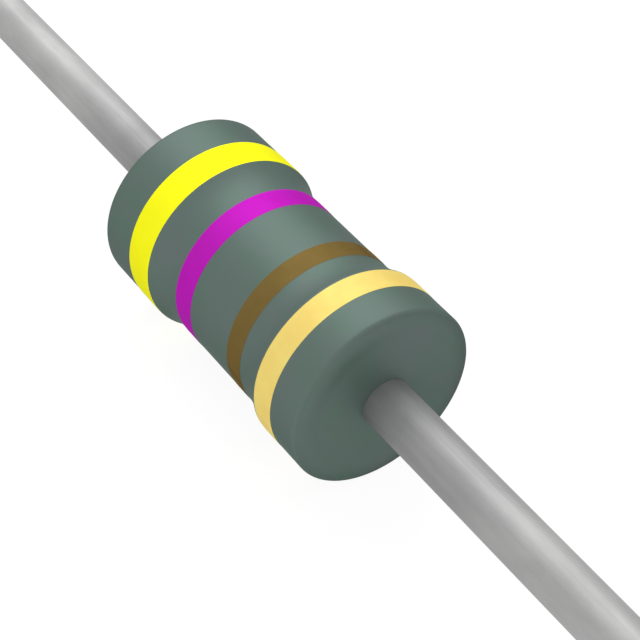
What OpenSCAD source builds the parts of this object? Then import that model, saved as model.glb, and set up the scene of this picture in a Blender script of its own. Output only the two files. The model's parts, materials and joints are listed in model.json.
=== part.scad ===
// Miniature axial film resistor with four colour bands, lying along X.
// The origin is the middle of the body, and +X points out of the end with the gold band.

/* [Ceramic rod and resistive film] */
// Diameter of the ceramic rod
core_d = 1.2; // [1:0.02:1.6]
// Length of the ceramic rod
core_l = 2.62; // [2.5:0.02:3.2]
// Small chamfer on the rod's two ends
core_chamfer = 0.03; // [0.01:0.01:0.08]
// Thickness of the resistive film on the rod
film_t = 0.02; // [0.015:0.005:0.04]
// Axial width of the helical groove that trims the film to its value
trim_w = 0.08; // [0.05:0.01:0.14]
// Axial advance of the groove in one turn
trim_pitch = 0.3; // [0.2:0.02:0.5]
// Film left whole between each cap's rim and the groove
trim_margin = 0.12; // [0.1:0.02:0.3]

/* [End caps] */
// Wall thickness of the pressed steel caps
cap_wall = 0.16; // [0.1:0.01:0.2]
// Length of rod and film that each cap covers
cap_overlap = 0.46; // [0.3:0.02:0.6]
// Outer radius between a cap's end and its side
cap_corner_r = 0.12; // [0.05:0.01:0.2]

/* [Wire leads] */
// Diameter of the tinned wire
lead_d = 0.46; // [0.35:0.01:0.6]
// Length of wire outside the body on each side
lead_l = 28; // [20:0.5:40]
// Radius of the weld fillet where the wire meets its cap
weld_r = 0.09; // [0.04:0.01:0.1]
// Chamfer on the wire's cut end
lead_chamfer = 0.04; // [0.02:0.01:0.08]

/* [Coating] */
// Coating thickness over the caps, which sets the diameter of the end bulges
coat_over_caps = 0.12; // [0.1:0.01:0.2]
// Coating thickness over the film, which sets the diameter of the waist
coat_over_film = 0.205; // [0.14:0.005:0.22]
// Coating thickness over each cap's end at the wire
coat_over_ends = 0.135; // [0.11:0.005:0.25]
// Length of the left end bulge at full diameter
left_bulge_l = 0.794; // [0.5:0.01:0.9]
// Length of the right end bulge at full diameter
right_bulge_l = 0.644; // [0.5:0.01:0.9]
// Radius of the rounded shoulder where a bulge drops towards the waist
shoulder_r = 0.04; // [0.03:0.01:0.12]
// Radius of the long fillet that blends the shoulder into the waist
waist_fillet_r = 0.71; // [0.3:0.02:0.9]
// Radius of the rounded rim of each end face
rim_r = 0.03; // [0.02:0.01:0.15]
// Radius of the shallow dome of each end face
face_dome_r = 8; // [4:0.5:20]

/* [Colour bands] */
// Thickness of the paint of the bands
paint_t = 0.006; // [0.004:0.001:0.015]
// From the left end face to the first band
first_band_in = 0.475; // [0.3:0.01:0.5]
// Width of the first band, yellow
first_band_w = 0.328; // [0.2:0.01:0.36]
// From the middle of the body to the middle of the second band, towards the left
second_band_off = 0.311; // [0.2:0.01:0.4]
// Width of the second band, violet
second_band_w = 0.251; // [0.15:0.01:0.3]
// From the middle of the body to the middle of the third band, towards the right
third_band_off = 0.52; // [0.3:0.01:0.55]
// Width of the third band, brown
third_band_w = 0.213; // [0.15:0.01:0.3]
// From the right end face to the tolerance band
tolerance_band_in = 0.392; // [0.3:0.01:0.5]
// Width of the tolerance band, gold
tolerance_band_w = 0.248; // [0.2:0.01:0.3]

/* [Hidden] */
$fn = 96;

// Radii from the axis outwards
core_r = core_d / 2;
film_r = core_r + film_t;
cap_r = film_r + cap_wall;
bulge_r = cap_r + coat_over_caps;
waist_r = film_r + coat_over_film;
lead_r = lead_d / 2;

// Places along the axis, measured from the middle of the body
core_end = core_l / 2;
cap_end = core_end + cap_wall;
cap_rim = core_end - cap_overlap;
face_end = cap_end + coat_over_ends;
lead_tip = face_end + lead_l;

// The rim's circle lies inside the dome of the end face and touches it
dome_centre = face_end - sqrt(pow(face_dome_r, 2) - pow(lead_r, 2));
rim_centre_r = bulge_r - rim_r;
rim_centre = dome_centre + sqrt(pow(face_dome_r - rim_r, 2) - pow(rim_centre_r, 2));

// Two touching circles are drawn this much into each other, so that they cross cleanly
graze = 0.0002;

// The shoulder's circle and the fillet's circle touch, and the fillet also touches the waist
step_h = bulge_r - waist_r;
step_sum = shoulder_r + waist_fillet_r;
step_l = sqrt(pow(step_sum - graze, 2) - pow(step_sum - step_h, 2));

// The trim groove's path
trim_half = cap_rim - trim_margin;
trim_turns = (2 * trim_half - trim_w) / trim_pitch;
trim_steps = ceil(trim_turns * 24);
trim_inner_r = core_r - film_t;
trim_outer_r = film_r + film_t;

// Revolves a profile, drawn as radius and place along the axis, about X
module along_x() {
    rotate([0, 90, 0])
        rotate_extrude() children();
}

// A step down from a bulge to the waist: a rounded shoulder, then a long fillet
module step_outline(shoulder, grow) {
    foot = shoulder - step_l;
    round_centre = [bulge_r - shoulder_r, shoulder];
    fillet_centre = [waist_r + waist_fillet_r, foot];
    meet = round_centre + (shoulder_r + grow) / step_sum * [step_sum - step_h, -step_l];
    difference() {
        polygon([[0, foot], [bulge_r, foot], meet, round_centre, [0, shoulder]]);
        translate(fillet_centre)
            circle(waist_fillet_r - grow);
    }
    translate(round_centre)
        circle(shoulder_r + grow);
}

// An end face: a shallow dome that runs into a rounded rim
module end_outline(grow) {
    rim_mid = [rim_centre_r, rim_centre];
    dome_mid = [0, dome_centre];
    meet = dome_mid + (face_dome_r + grow) / (face_dome_r - rim_r) * (rim_mid - dome_mid);
    intersection() {
        translate(dome_mid)
            circle(face_dome_r + grow - graze);
        polygon([[0, rim_centre], rim_mid, 2 * meet - rim_mid, [0, face_dome_r]]);
    }
    translate(rim_mid)
        circle(rim_r + grow);
}

// Half of the coating's outline, from the middle of the body to one end, grown by the paint
module half_outline(bulge_l, grow) {
    shoulder = face_end - bulge_l;
    foot = shoulder - step_l;
    waist = waist_r + grow;
    bulge = bulge_r + grow;
    polygon([[0, 0], [waist, 0], [waist, foot], [0, foot]]);
    step_outline(shoulder, grow);
    polygon([[0, shoulder], [bulge, shoulder], [bulge, rim_centre], [0, rim_centre]]);
    end_outline(grow);
}

// The whole outline of the coated body
module body_outline(grow = 0) {
    half_outline(right_bulge_l, grow);
    mirror([0, 1])
        half_outline(left_bulge_l, grow);
}

// Section of the right cap: a cup with a rounded outer corner
module cap_outline() {
    corner = cap_r - cap_corner_r;
    translate([0, cap_rim])
        square([cap_r, cap_end - cap_corner_r - cap_rim]);
    translate([0, cap_rim])
        square([corner, cap_end - cap_rim]);
    translate([corner, cap_end - cap_corner_r])
        circle(cap_corner_r);
}

// Section of the right wire with its weld fillet and its chamfered tip
module lead_outline() {
    translate([0, cap_end])
        square([lead_r, lead_tip - lead_chamfer - cap_end]);
    polygon([
        [0, lead_tip - lead_chamfer],
        [lead_r, lead_tip - lead_chamfer],
        [lead_r - lead_chamfer, lead_tip],
        [0, lead_tip]
    ]);
    difference() {
        translate([0, cap_end])
            square([lead_r + weld_r, weld_r]);
        translate([lead_r + weld_r, cap_end + weld_r])
            circle(weld_r);
    }
}

// Everything that the coating closes round, as one profile
module inner_outline() {
    translate([0, -core_end])
        square([film_r, core_l]);
    for (side = [0, 1])
        mirror([0, side]) {
            cap_outline();
            lead_outline();
        }
}

module coating() {
    color([0.44, 0.51, 0.49])
        along_x()
            difference() {
                body_outline();
                inner_outline();
            }
}

module ceramic_core() {
    color([0.93, 0.92, 0.88])
        along_x()
            polygon([
                [0, -core_end],
                [core_r - core_chamfer, -core_end],
                [core_r, core_chamfer - core_end],
                [core_r, core_end - core_chamfer],
                [core_r - core_chamfer, core_end],
                [0, core_end]
            ]);
}

// Corner k of the groove's section at step i: inner and outer edges of its two walls
function trim_corner(i, k) =
    let (
        turn = 360 * trim_turns * i / trim_steps,
        r = (k == 0 || k == 3) ? trim_inner_r : trim_outer_r,
        edge = (k < 2) ? 0 : trim_w
    )
    [
        trim_pitch * trim_turns * i / trim_steps - trim_half + edge,
        r * cos(turn),
        r * sin(turn)
    ];

// A square-sectioned helical bar, which cuts the trim groove
module trim_groove() {
    last = 4 * trim_steps;
    walls = [
        for (i = [0 : trim_steps - 1])
            for (k = [0 : 3])
                let (
                    a = 4 * i + k,
                    b = 4 * i + (k + 1) % 4
                )
                each [[a, b, b + 4], [a, b + 4, a + 4]]
    ];
    ends = [
        [0, 3, 2],
        [0, 2, 1],
        [last, last + 1, last + 2],
        [last, last + 2, last + 3]
    ];
    polyhedron(
        points = [for (i = [0 : trim_steps]) for (k = [0 : 3]) trim_corner(i, k)],
        faces = concat(walls, ends)
    );
}

module resistive_film() {
    color([0.25, 0.24, 0.25])
        difference() {
            along_x()
                translate([core_r, -core_end])
                    square([film_t, core_l]);
            trim_groove();
        }
}

// A pressed cup over one end of the rod: side 0 is the right one, side 1 the left
module end_cap(side) {
    color([0.72, 0.7, 0.66])
        mirror([side, 0, 0])
            along_x()
                difference() {
                    cap_outline();
                    square([film_r, core_end]);
                }
}

// A wire welded to the middle of its cap
module lead(side) {
    color([0.74, 0.74, 0.74])
        mirror([side, 0, 0])
            along_x()
                lead_outline();
}

// A painted ring that follows the coating's surface between two places along the axis
module colour_band(start, width) {
    along_x()
        intersection() {
            difference() {
                body_outline(paint_t);
                body_outline();
            }
            translate([0, start])
                square([bulge_r + paint_t, width]);
        }
}

module band_first_digit() {
    color([1, 1, 0.18])
        colour_band(first_band_in - face_end, first_band_w);
}

module band_second_digit() {
    color([0.81, 0.13, 0.8])
        colour_band(-second_band_off - second_band_w / 2, second_band_w);
}

module band_multiplier() {
    color([0.52, 0.41, 0.22])
        colour_band(third_band_off - third_band_w / 2, third_band_w);
}

module band_tolerance() {
    color([0.98, 0.9, 0.5])
        colour_band(face_end - tolerance_band_in - tolerance_band_w, tolerance_band_w);
}

coating();
ceramic_core();
resistive_film();
end_cap(1);  // left_end_cap
end_cap(0);  // right_end_cap
lead(1);  // left_lead
lead(0);  // right_lead
band_first_digit();
band_second_digit();
band_multiplier();
band_tolerance();
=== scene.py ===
"""Looks of a miniature axial film resistor: turned meshes, finishes, soft studio light and camera."""
import json
import math

import bpy
from mathutils import Matrix, Vector


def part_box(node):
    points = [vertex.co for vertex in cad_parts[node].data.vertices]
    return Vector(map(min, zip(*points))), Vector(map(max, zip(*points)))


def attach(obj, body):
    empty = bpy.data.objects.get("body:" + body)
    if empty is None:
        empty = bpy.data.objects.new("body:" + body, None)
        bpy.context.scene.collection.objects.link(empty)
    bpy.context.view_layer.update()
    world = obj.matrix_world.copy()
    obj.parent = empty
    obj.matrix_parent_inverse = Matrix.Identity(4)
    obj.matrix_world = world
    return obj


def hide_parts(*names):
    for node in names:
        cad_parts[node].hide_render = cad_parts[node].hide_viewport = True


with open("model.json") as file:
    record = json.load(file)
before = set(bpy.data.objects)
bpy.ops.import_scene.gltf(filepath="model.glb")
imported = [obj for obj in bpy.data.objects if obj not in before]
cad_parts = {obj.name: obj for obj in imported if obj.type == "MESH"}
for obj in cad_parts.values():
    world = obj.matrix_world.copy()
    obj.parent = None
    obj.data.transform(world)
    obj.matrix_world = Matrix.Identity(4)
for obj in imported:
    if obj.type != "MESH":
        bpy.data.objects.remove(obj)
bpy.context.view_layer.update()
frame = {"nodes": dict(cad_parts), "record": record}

MM = 0.001
BODY = "root"

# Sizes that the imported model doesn't give by itself, in metres
SHOULDER_R = 0.04 * MM
WAIST_FILLET_R = 0.71 * MM
RIM_R = 0.03 * MM
FACE_DOME_R = 8 * MM
LEFT_BULGE = 0.794 * MM
RIGHT_BULGE = 0.644 * MM
COAT_OVER_FILM = 0.205 * MM
COAT_OVER_ENDS = 0.135 * MM
CAP_CORNER_R = 0.12 * MM
CORE_CHAMFER = 0.03 * MM
WELD_R = 0.09 * MM
LEAD_CHAMFER = 0.04 * MM

# Ink of the bands: how thick, over what width it thins out, and its share left at the very edge
PAINT = 0.003 * MM
PAINT_FEATHER = 0.05 * MM
PAINT_EDGE = 0.3

# Steps round the axis, along the waist's fillets, along the domes, and along the small arcs
TURN_STEPS = 192
FILLET_STEPS = 14
DOME_STEPS = 7
ARC_STEPS = 6
FINE_ARC_STEPS = 8

# Vertices closer than this are one, and edges under this many degrees are shaded smooth
MERGE_DISTANCE = 1e-7
SMOOTH_ANGLE = 30

# The photo's camera, solved from the part's outline: its place, two directions, lens and sensor.
# The place, lens and sensor are in millimetres
CAMERA_PLACE = (10.196, -6.511, 11.076)
CAMERA_RIGHT = (0.56064, 0.82805, 0.00229)
CAMERA_FORWARD = (-0.60181, 0.40939, -0.68573)
LENS = 103.42
SENSOR = 36.0

# Width of the paper floor in metres, and how strongly the even sky lights the part
FLOOR_SIZE = 2.0
SKY_LIGHT = 0.65

# Sockets of a colour Mix node: its factor, its two colours and its result
FACTOR = 0
FIRST = 6
SECOND = 7
MIXED = 2


def reach(node):
    """Largest distance of a CAD node's surface from the X axis."""
    return max(math.hypot(v.co.y, v.co.z) for v in frame["nodes"][node].data.vertices)


def span(node):
    """Where a CAD node starts and ends along the axis."""
    low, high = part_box(node)
    return low.x, high.x


# Radii and places along the axis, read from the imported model; the mounts are on the wires
BULGE_R = reach("coating")
CAP_R = reach("right_end_cap")
FILM_R = reach("resistive_film")
CORE_R = reach("ceramic_core")
WAIST_R = FILM_R + COAT_OVER_FILM
LEAD_R = frame["record"]["mounts"][0]["dims"]["r_mm"] * MM
CORE_END = span("ceramic_core")[1]
CAP_RIM, CAP_END = span("right_end_cap")
FACE_END = CAP_END + COAT_OVER_ENDS
LEAD_TIP = span("right_lead")[1]
RIM_PLACE = FACE_END - BULGE_R**2 / (2 * FACE_DOME_R)

# How far the end faces' shading is softened at their rims, and the share of it that the sides get.
# It comes in between two distances from the axis, clear of the wire, and two places along the axis
RIM_SOFTNESS = 0.32 * MM
SIDE_SHARE = 0.12
SOFT_HEIGHTS = (2.2 * LEAD_R, 3 * LEAD_R)
SOFT_PLACES = (RIM_PLACE - 0.5 * RIM_R, RIM_PLACE + 0.3 * RIM_R)

# Where the painted shade on the wires near the body starts to fade out and where it ends
SHADE_NEAR_BODY_PLACES = (FACE_END + 0.4 * MM, FACE_END + 2.0 * MM)


def srgb(code):
    """A colour written as an sRGB hex value, as linear red, green, blue and alpha."""
    channels = [int(code[i : i + 2], 16) / 255 for i in (0, 2, 4)]
    return [c / 12.92 if c <= 0.04045 else ((c + 0.055) / 1.055) ** 2.4 for c in channels] + [1]


def grey(level):
    """A neutral colour of one linear level, for tints and lights."""
    return (level, level, level, 1)


# Outlines, as points of place along the axis and distance from it


def arc(centre, radius, start, end, steps):
    """Points along an arc, with its angles in degrees."""
    points = []
    for i in range(steps + 1):
        angle = math.radians(start + (end - start) * i / steps)
        points.append((centre[0] + radius * math.cos(angle), centre[1] + radius * math.sin(angle)))
    return points


def half_outline(bulge_length):
    """The coating's outside from the waist's middle to the wire hole of the +X end."""
    step_height = BULGE_R - WAIST_R
    step_sum = SHOULDER_R + WAIST_FILLET_R
    slope = math.degrees(math.acos((step_sum - step_height) / step_sum))
    shoulder = FACE_END - bulge_length
    foot = shoulder - step_sum * math.sin(math.radians(slope))
    dome_centre = FACE_END - math.sqrt(FACE_DOME_R**2 - LEAD_R**2)
    rim_height = BULGE_R - RIM_R
    rim_centre = dome_centre + math.sqrt((FACE_DOME_R - RIM_R) ** 2 - rim_height**2)
    rim_turn = math.degrees(math.atan2(rim_height, rim_centre - dome_centre))
    hole_turn = math.degrees(math.asin(LEAD_R / FACE_DOME_R))
    fillet_centre = (foot, WAIST_R + WAIST_FILLET_R)
    fillet = arc(fillet_centre, WAIST_FILLET_R, -90, slope - 90, FILLET_STEPS)
    rounding = arc((shoulder, BULGE_R - SHOULDER_R), SHOULDER_R, slope + 90, 90, ARC_STEPS)
    rim = arc((rim_centre, rim_height), RIM_R, 90, rim_turn, ARC_STEPS)
    dome = arc((dome_centre, 0), FACE_DOME_R, rim_turn, hole_turn, DOME_STEPS)
    start, end = rounding[-1][0], rim[0][0]
    places = [start + (end - start) * i / ARC_STEPS for i in range(1, ARC_STEPS)]
    side = [(x, BULGE_R) for x in places]
    return [(0, WAIST_R)] + fillet + rounding[1:] + side + rim + dome[1:]


def mirrored(points):
    """The same outline on the other side of the middle, in the opposite order."""
    return [(-x, r) for x, r in reversed(points)]


def body_outline():
    """The whole outside of the coated body, from the left wire hole to the right one."""
    return mirrored(half_outline(LEFT_BULGE)[1:]) + half_outline(RIGHT_BULGE)


def cap_corner(steps):
    """The rounded outer corner of the right cap, from its side to its end."""
    return arc((CAP_END - CAP_CORNER_R, CAP_R - CAP_CORNER_R), CAP_CORNER_R, 90, 0, steps)


def weld_fillet(steps):
    """The fillet of weld between the right cap's end and its wire."""
    return arc((CAP_END + WELD_R, LEAD_R + WELD_R), WELD_R, 180, 270, steps)


def inner_outline():
    """What the coating closes round: half of the film, cap, weld fillet and wire, towards +X."""
    film_and_rim = [(0, FILM_R), (CAP_RIM, FILM_R), (CAP_RIM, CAP_R)]
    return film_and_rim + cap_corner(ARC_STEPS) + weld_fillet(ARC_STEPS)


def height_at(points, x):
    """How far an outline stands from the axis at one place along it."""
    for (xa, ra), (xb, rb) in zip(points, points[1:]):
        if xa <= x <= xb and xb > xa:
            return ra + (rb - ra) * (x - xa) / (xb - xa)
    raise ValueError("no outline at this place")


def band_outline(start, end):
    """A closed outline of ink on the coating: full in its middle, thinning out to its edges."""
    body = body_outline()
    ramp = [PAINT_FEATHER * i / ARC_STEPS for i in range(ARC_STEPS + 1)]
    places = [start + x for x in ramp] + [end - x for x in ramp]
    places = sorted(places + [x for x, r in body if start < x < end])
    under = [(x, height_at(body, x)) for x in places]
    over = []
    for x, r in under:
        part = min(1.0, min(x - start, end - x) / PAINT_FEATHER)
        share = PAINT_EDGE + (1 - PAINT_EDGE) * math.sin(part * math.pi / 2)
        over.append((x, r + PAINT * share))
    return over + under[::-1]


# Turned pieces


def turned(name, outline, closed):
    """A mesh made as on a lathe: one vertex is extruded along the outline and spun about X."""
    bpy.ops.object.select_all(action="DESELECT")
    bpy.ops.mesh.primitive_plane_add(size=2 * MM, location=(0, 0, 0))
    piece = bpy.context.object
    piece.name = piece.data.name = name
    bpy.ops.object.mode_set(mode="EDIT")
    bpy.ops.mesh.select_all(action="SELECT")
    bpy.ops.mesh.merge(type="CENTER")
    bpy.ops.transform.translate(value=(outline[0][0], 0, outline[0][1]))
    for (xa, ra), (xb, rb) in zip(outline, outline[1:]):
        bpy.ops.mesh.extrude_region_move(TRANSFORM_OT_translate={"value": (xb - xa, 0, rb - ra)})
    if closed:
        back = (outline[0][0] - outline[-1][0], 0, outline[0][1] - outline[-1][1])
        bpy.ops.mesh.extrude_region_move(TRANSFORM_OT_translate={"value": back})
    bpy.ops.mesh.select_all(action="SELECT")
    bpy.ops.mesh.remove_doubles(threshold=MERGE_DISTANCE)
    bpy.ops.mesh.spin(steps=TURN_STEPS, angle=2 * math.pi, center=(0, 0, 0), axis=(1, 0, 0))
    bpy.ops.mesh.select_all(action="SELECT")
    bpy.ops.mesh.remove_doubles(threshold=MERGE_DISTANCE)
    bpy.ops.mesh.normals_make_consistent(inside=False)
    bpy.ops.object.mode_set(mode="OBJECT")
    bpy.ops.object.shade_smooth_by_angle(angle=math.radians(SMOOTH_ANGLE))
    return piece


def finished(piece, material, node):
    """Gives a piece its finish and puts it in the place of its CAD node."""
    piece.data.materials.clear()
    piece.data.materials.append(material)
    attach(piece, BODY)
    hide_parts(node)


# Finishes


def put(tree, kind, values=None, links=None, **settings):
    """Adds a node, with its settings, its sockets' values and the sockets that feed it."""
    node = tree.nodes.new(kind)
    for name, value in settings.items():
        setattr(node, name, value)
    for socket, value in (values or {}).items():
        node.inputs[socket].default_value = value
    for socket, source in (links or {}).items():
        tree.links.new(source, node.inputs[socket])
    return node


def new_material(name):
    """An empty material, its node tree and its output node."""
    material = bpy.data.materials.new(name)
    material.use_nodes = True
    tree = material.node_tree
    tree.nodes.clear()
    output = put(tree, "ShaderNodeOutputMaterial")
    return material, tree, output


def flow_pattern(tree, size, detail=3.0, stretch=(1, 1, 1)):
    """Noise whose blobs are about size metres across, longer where stretch is under one."""
    place = put(tree, "ShaderNodeTexCoord")
    links = {"Vector": place.outputs["Object"]}
    scaled = put(tree, "ShaderNodeMapping", {"Scale": stretch}, links)
    values = {"Scale": 1 / size, "Detail": detail, "Roughness": 0.55}
    return put(tree, "ShaderNodeTexNoise", values, {"Vector": scaled.outputs["Vector"]})


def surface_places(tree):
    """Object coordinates, and each point's distance from the body's middle along the wires."""
    place = put(tree, "ShaderNodeTexCoord")
    axes = put(tree, "ShaderNodeSeparateXYZ", {}, {0: place.outputs["Object"]})
    along = put(tree, "ShaderNodeMath", {}, {0: axes.outputs["X"]}, operation="ABSOLUTE")
    return place.outputs["Object"], along.outputs[0]


def epoxy_lacquer():
    """Dipped, cured epoxy lacquer with mineral filler: grey-green, with a broad sheen of its colour."""
    material, tree, output = new_material("dipped_epoxy_lacquer")
    cloud = flow_pattern(tree, 0.45 * MM)
    peel = flow_pattern(tree, 0.06 * MM, 2.0)
    values = {FIRST: srgb("577364"), SECOND: srgb("6A7072")}
    tone = put(tree, "ShaderNodeMix", values, {FACTOR: cloud.outputs["Fac"]}, data_type="RGBA")
    values = {"To Min": 0.5, "To Max": 0.57}
    gloss = put(tree, "ShaderNodeMapRange", values, {"Value": cloud.outputs["Fac"]})
    # The wet lacquer draws back softly at its rims, not at the wires: light runs gently round them
    place, along = surface_places(tree)
    values = {1: (0, 1, 1)}
    across = put(tree, "ShaderNodeVectorMath", values, {0: place}, operation="MULTIPLY")
    off_axis = put(tree, "ShaderNodeVectorMath", {}, {0: across.outputs[0]}, operation="LENGTH")
    values = {"From Min": SOFT_HEIGHTS[0], "From Max": SOFT_HEIGHTS[1], "To Max": RIM_SOFTNESS}
    on_face = put(tree, "ShaderNodeMapRange", values, {"Value": off_axis.outputs["Value"]})
    values = {"From Min": SOFT_PLACES[0], "From Max": SOFT_PLACES[1], "To Min": SIDE_SHARE}
    past_side = put(tree, "ShaderNodeMapRange", values, {"Value": along})
    links = {0: on_face.outputs["Result"], 1: past_side.outputs["Result"]}
    softness = put(tree, "ShaderNodeMath", {}, links, operation="MULTIPLY")
    soft = put(tree, "ShaderNodeBevel", {}, {"Radius": softness.outputs[0]}, samples=8)
    links = {"Height": peel.outputs["Fac"], "Normal": soft.outputs["Normal"]}
    bump = put(tree, "ShaderNodeBump", {"Strength": 0.25, "Distance": 0.002 * MM}, links)
    links = {
        "Base Color": tone.outputs[MIXED],
        "Roughness": gloss.outputs["Result"],
        "Normal": bump.outputs["Normal"],
    }
    values = {"Metallic": 0.62, "Specular IOR Level": 0.15, "Specular Tint": grey(0.22)}
    skin = put(tree, "ShaderNodeBsdfPrincipled", values, links)
    tree.links.new(skin.outputs[0], output.inputs["Surface"])
    return material


def band_ink(name, light, dark):
    """Rolled-on and cured marking ink: solid colour with slight thin places and the lacquer's sheen."""
    material, tree, output = new_material(name)
    cover = flow_pattern(tree, 0.2 * MM)
    # Pigment grains are a few thousandths of a millimetre, so they are drawn coarser to show
    grain = flow_pattern(tree, 0.03 * MM, 2.0)
    values = {FIRST: srgb(dark), SECOND: srgb(light)}
    tone = put(tree, "ShaderNodeMix", values, {FACTOR: cover.outputs["Fac"]}, data_type="RGBA")
    values = {"Strength": 0.2, "Distance": 0.001 * MM}
    bump = put(tree, "ShaderNodeBump", values, {"Height": grain.outputs["Fac"]})
    links = {"Base Color": tone.outputs[MIXED], "Normal": bump.outputs["Normal"]}
    values = {
        "Metallic": 0.75,
        "Roughness": 0.64,
        "Specular IOR Level": 0.1,
        "Specular Tint": grey(0.1),
    }
    ink = put(tree, "ShaderNodeBsdfPrincipled", values, links)
    tree.links.new(ink.outputs[0], output.inputs["Surface"])
    return material


def gold_ink():
    """Gold marking ink: pale bronze flakes in clear varnish, which give a mottled warm sheen."""
    material, tree, output = new_material("gold_bronze_ink")
    place = put(tree, "ShaderNodeTexCoord")
    links = {"Vector": place.outputs["Object"]}
    flakes = put(tree, "ShaderNodeTexVoronoi", {"Scale": 1 / (0.035 * MM)}, links)
    cover = flow_pattern(tree, 0.25 * MM)
    values = {FIRST: srgb("EAC86C"), SECOND: srgb("F1E287")}
    tone = put(tree, "ShaderNodeMix", values, {FACTOR: cover.outputs["Fac"]}, data_type="RGBA")
    values = {"Strength": 0.15, "Distance": 0.001 * MM}
    bump = put(tree, "ShaderNodeBump", values, {"Height": flakes.outputs["Distance"]})
    links = {"Base Color": tone.outputs[MIXED], "Normal": bump.outputs["Normal"]}
    values = {
        "Metallic": 0.55,
        "Roughness": 0.66,
        "Specular IOR Level": 0.1,
        "Specular Tint": grey(0.15),
    }
    ink = put(tree, "ShaderNodeBsdfPrincipled", values, links)
    tree.links.new(ink.outputs[0], output.inputs["Surface"])
    return material


def tinned_copper():
    """Hot-tinned copper wire: dull silver-grey, with faint marks along it from the drawing die."""
    material, tree, output = new_material("hot_tinned_copper_wire")
    # Real die marks are some thousandths of a millimetre wide, so they are drawn coarser to show
    marks = flow_pattern(tree, 0.04 * MM, 3.0, (0.03, 1, 1))
    clouds = flow_pattern(tree, 0.3 * MM, 3.0, (0.4, 1, 1))
    values = {FIRST: srgb("999999"), SECOND: srgb("BEBEBD")}
    tin = put(tree, "ShaderNodeMix", values, {FACTOR: clouds.outputs["Fac"]}, data_type="RGBA")
    # Painted shade: the wire's colour is made darker near the body, where the body shades it, less and
    # less further out
    along = surface_places(tree)[1]
    values = {
        "From Min": SHADE_NEAR_BODY_PLACES[0],
        "From Max": SHADE_NEAR_BODY_PLACES[1],
        "To Min": 1.0,
        "To Max": 0.0,
    }
    painted_shade_near_body = put(tree, "ShaderNodeMapRange", values, {"Value": along})
    links = {FACTOR: painted_shade_near_body.outputs["Result"], FIRST: tin.outputs[MIXED]}
    settings = {"data_type": "RGBA", "blend_type": "MULTIPLY"}
    tone = put(tree, "ShaderNodeMix", {SECOND: srgb("D9DADA")}, links, **settings)
    values = {"To Min": 0.52, "To Max": 0.72}
    gloss = put(tree, "ShaderNodeMapRange", values, {"Value": marks.outputs["Fac"]})
    values = {"Strength": 0.2, "Distance": 0.001 * MM}
    bump = put(tree, "ShaderNodeBump", values, {"Height": marks.outputs["Fac"]})
    links = {
        "Base Color": tone.outputs[MIXED],
        "Roughness": gloss.outputs["Result"],
        "Normal": bump.outputs["Normal"],
    }
    values = {"Metallic": 1.0, "Specular Tint": grey(0.8)}
    wire = put(tree, "ShaderNodeBsdfPrincipled", values, links)
    tree.links.new(wire.outputs[0], output.inputs["Surface"])
    return material


def plated_steel():
    """Deep-drawn steel, nickel plated: a warm bright grey with draw lines along the cup."""
    material, tree, output = new_material("nickel_plated_drawn_steel")
    lines = flow_pattern(tree, 0.03 * MM, 3.0, (0.1, 1, 1))
    values = {FIRST: srgb("A9A49A"), SECOND: srgb("C2BDB2")}
    tone = put(tree, "ShaderNodeMix", values, {FACTOR: lines.outputs["Fac"]}, data_type="RGBA")
    values = {"To Min": 0.25, "To Max": 0.4}
    gloss = put(tree, "ShaderNodeMapRange", values, {"Value": lines.outputs["Fac"]})
    links = {"Base Color": tone.outputs[MIXED], "Roughness": gloss.outputs["Result"]}
    steel = put(tree, "ShaderNodeBsdfPrincipled", {"Metallic": 1.0}, links)
    tree.links.new(steel.outputs[0], output.inputs["Surface"])
    return material


def alumina():
    """Sintered alumina: matt off-white with a fine grain, drawn a few times coarser than it is."""
    material, tree, output = new_material("sintered_alumina")
    grain = flow_pattern(tree, 0.02 * MM, 4.0)
    values = {FIRST: srgb("DEDACE"), SECOND: srgb("EFECE3")}
    tone = put(tree, "ShaderNodeMix", values, {FACTOR: grain.outputs["Fac"]}, data_type="RGBA")
    values = {"Strength": 0.3, "Distance": 0.001 * MM}
    bump = put(tree, "ShaderNodeBump", values, {"Height": grain.outputs["Fac"]})
    links = {"Base Color": tone.outputs[MIXED], "Normal": bump.outputs["Normal"]}
    body = put(tree, "ShaderNodeBsdfPrincipled", {"IOR": 1.76, "Roughness": 0.75}, links)
    tree.links.new(body.outputs[0], output.inputs["Surface"])
    return material


def carbon_film():
    """Cracked carbon film: near black, with the dull graphite sheen of a film on a fine grain."""
    material, tree, output = new_material("cracked_carbon_film")
    grain = flow_pattern(tree, 0.05 * MM, 3.0)
    values = {FIRST: srgb("2B2A2B"), SECOND: srgb("3A393A")}
    tone = put(tree, "ShaderNodeMix", values, {FACTOR: grain.outputs["Fac"]}, data_type="RGBA")
    values = {"To Min": 0.35, "To Max": 0.5}
    gloss = put(tree, "ShaderNodeMapRange", values, {"Value": grain.outputs["Fac"]})
    links = {"Base Color": tone.outputs[MIXED], "Roughness": gloss.outputs["Result"]}
    film = put(tree, "ShaderNodeBsdfPrincipled", {"IOR": 1.9}, links)
    tree.links.new(film.outputs[0], output.inputs["Surface"])
    return material


# Pieces of the resistor


def make_coating():
    """The dipped lacquer shell, hollow where the rod, caps, welds and wires are."""
    inside = inner_outline()
    outline = body_outline() + inside[::-1] + [(-x, r) for x, r in inside[1:]]
    finished(turned("lacquer_coating", outline, True), epoxy_lacquer(), "coating")


def make_bands():
    """Four rings of ink that follow the lacquer, in their CAD nodes' places."""
    inks = {
        "band_first_digit": ("yellow_paint", band_ink("yellow_band_ink", "FCFB26", "F6F322")),
        "band_second_digit": ("violet_paint", band_ink("violet_band_ink", "C026BC", "B820B4")),
        "band_multiplier": ("brown_paint", band_ink("brown_band_ink", "816D3E", "735F34")),
        "band_tolerance": ("gold_paint", gold_ink()),
    }
    for node, (slot, ink) in inks.items():
        start, end = span(node)
        finished(turned(node + "_ink", band_outline(start, end), True), ink, node)


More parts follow.
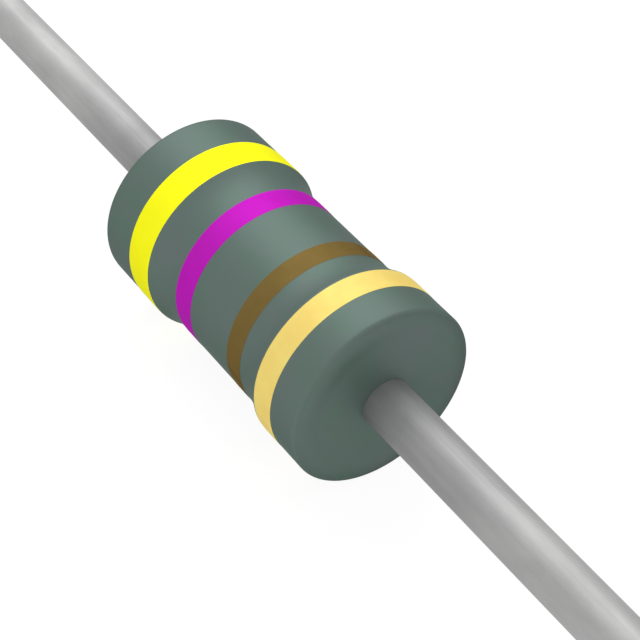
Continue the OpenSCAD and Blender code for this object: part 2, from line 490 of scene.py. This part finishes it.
def make_leads():
    """The two tinned wires, each from its weld on the cap to its cut tip."""
    metal = tinned_copper()
    tip = [(LEAD_TIP - LEAD_CHAMFER, LEAD_R), (LEAD_TIP, LEAD_R - LEAD_CHAMFER), (LEAD_TIP, 0)]
    outline = [(CAP_END, 0)] + weld_fillet(FINE_ARC_STEPS) + tip
    for node, side in (("right_lead", 1), ("left_lead", -1)):
        shape = [(side * x, r) for x, r in outline]
        finished(turned(node + "_wire", shape, False), metal, node)


def make_inside():
    """The two caps and the rod, and a finish for the film, whose CAD shape has the trim groove."""
    steel = plated_steel()
    rim = [(CAP_RIM, FILM_R), (CAP_RIM, CAP_R)]
    floor_of_cup = [(CAP_END, 0), (CORE_END, 0), (CORE_END, FILM_R)]
    cup = rim + cap_corner(FINE_ARC_STEPS) + floor_of_cup
    for node, side in (("right_end_cap", 1), ("left_end_cap", -1)):
        shape = [(side * x, r) for x, r in cup]
        finished(turned(node + "_cup", shape, True), steel, node)
    flat = CORE_END - CORE_CHAMFER
    half = [(flat, CORE_R), (CORE_END, CORE_R - CORE_CHAMFER), (CORE_END, 0)]
    rod = mirrored(half) + half
    finished(turned("ceramic_rod", rod, False), alumina(), "ceramic_core")
    film = frame["nodes"]["resistive_film"]
    film.data.materials.clear()
    film.data.materials.append(carbon_film())


# Studio


def white_to_camera(tree, lighting, look):
    """Mixes two shaders: the first lights the part, the second is what eyes and mirrors see."""
    ray = put(tree, "ShaderNodeLightPath")
    links = {0: ray.outputs["Is Camera Ray"], 1: ray.outputs["Is Glossy Ray"]}
    seen = put(tree, "ShaderNodeMath", {}, links, operation="ADD")
    links = {0: seen.outputs[0], 1: ray.outputs["Is Transmission Ray"]}
    seen = put(tree, "ShaderNodeMath", {}, links, operation="ADD", use_clamp=True)
    return put(tree, "ShaderNodeMixShader", {}, {0: seen.outputs[0], 1: lighting, 2: look})


def make_floor():
    """White paper under the resistor, seen as white with a soft shadow."""
    bpy.ops.object.select_all(action="DESELECT")
    bpy.ops.mesh.primitive_plane_add(size=FLOOR_SIZE, location=(0, 0, -BULGE_R - PAINT))
    floor = bpy.context.object
    floor.name = "floor"
    material, tree, output = new_material("white_paper_sweep")
    paper = put(tree, "ShaderNodeBsdfDiffuse", {"Color": srgb("EDEDED")})
    # Mostly a white glow; the rest is lit by the lamps, so that the shadow shows faintly
    tint = put(tree, "ShaderNodeBsdfDiffuse", {"Color": grey(0.15)})
    glow = put(tree, "ShaderNodeEmission", {"Color": grey(1), "Strength": 0.9})
    look = put(tree, "ShaderNodeAddShader", {}, {0: tint.outputs[0], 1: glow.outputs[0]})
    mixed = white_to_camera(tree, paper.outputs[0], look.outputs[0])
    tree.links.new(mixed.outputs[0], output.inputs["Surface"])
    floor.data.materials.append(material)


def make_world():
    """An even pale sky that lights the part and shows as white."""
    world = bpy.data.worlds.new("pale_studio")
    bpy.context.scene.world = world
    world.use_nodes = True
    tree = world.node_tree
    tree.nodes.clear()
    output = put(tree, "ShaderNodeOutputWorld")
    light = put(tree, "ShaderNodeBackground", {"Color": grey(1), "Strength": SKY_LIGHT})
    white = put(tree, "ShaderNodeBackground", {"Color": grey(1), "Strength": 1.0})
    mixed = white_to_camera(tree, light.outputs[0], white.outputs[0])
    tree.links.new(mixed.outputs[0], output.inputs["Surface"])


def add_softbox(name, direction, distance, width, level, highlight=True):
    """A square lamp that shines on the middle of the body; level is its light there, over pi.

    Without a highlight it adds light only: it isn't seen in the sheen of any surface.
    """
    lamp = bpy.data.lights.new(name, "AREA")
    lamp.size = width
    lamp.energy = level * math.pi * distance**2
    box = bpy.data.objects.new(name, lamp)
    bpy.context.scene.collection.objects.link(box)
    towards = Vector(direction).normalized()
    box.location = towards * distance
    box.rotation_mode = "QUATERNION"
    box.rotation_quaternion = towards.to_track_quat("Z", "Y")
    box.visible_camera = False
    box.visible_glossy = highlight


def make_camera():
    """The photo's view: from above the gold end, with the wires running down to the right."""
    data = bpy.data.cameras.new("camera")
    data.sensor_width = SENSOR
    data.lens = LENS
    data.clip_start = 0.5 * MM
    data.clip_end = 10.0
    camera = bpy.data.objects.new("camera", data)
    bpy.context.scene.collection.objects.link(camera)
    right = Vector(CAMERA_RIGHT)
    forward = Vector(CAMERA_FORWARD).normalized()
    right = (right - right.dot(forward) * forward).normalized()
    up = right.cross(forward)
    turn = Matrix((right, up, -forward)).transposed().to_4x4()
    camera.matrix_world = Matrix.Translation(Vector(CAMERA_PLACE) * MM) @ turn
    bpy.context.scene.camera = camera


make_coating()
make_bands()
make_leads()
make_inside()
make_floor()
make_world()
# The photo's one highlight comes from overhead; the fill from the left only lifts the shaded side
add_softbox("overhead_softbox", (-0.62, 0.3, 0.77), distance=0.3, width=0.27, level=1.6)
add_softbox("left_fill", (0.65, -0.8, 0.3), distance=0.4, width=0.36, level=1.6, highlight=False)
make_camera()

bpy.context.scene.view_settings.view_transform = "Standard"
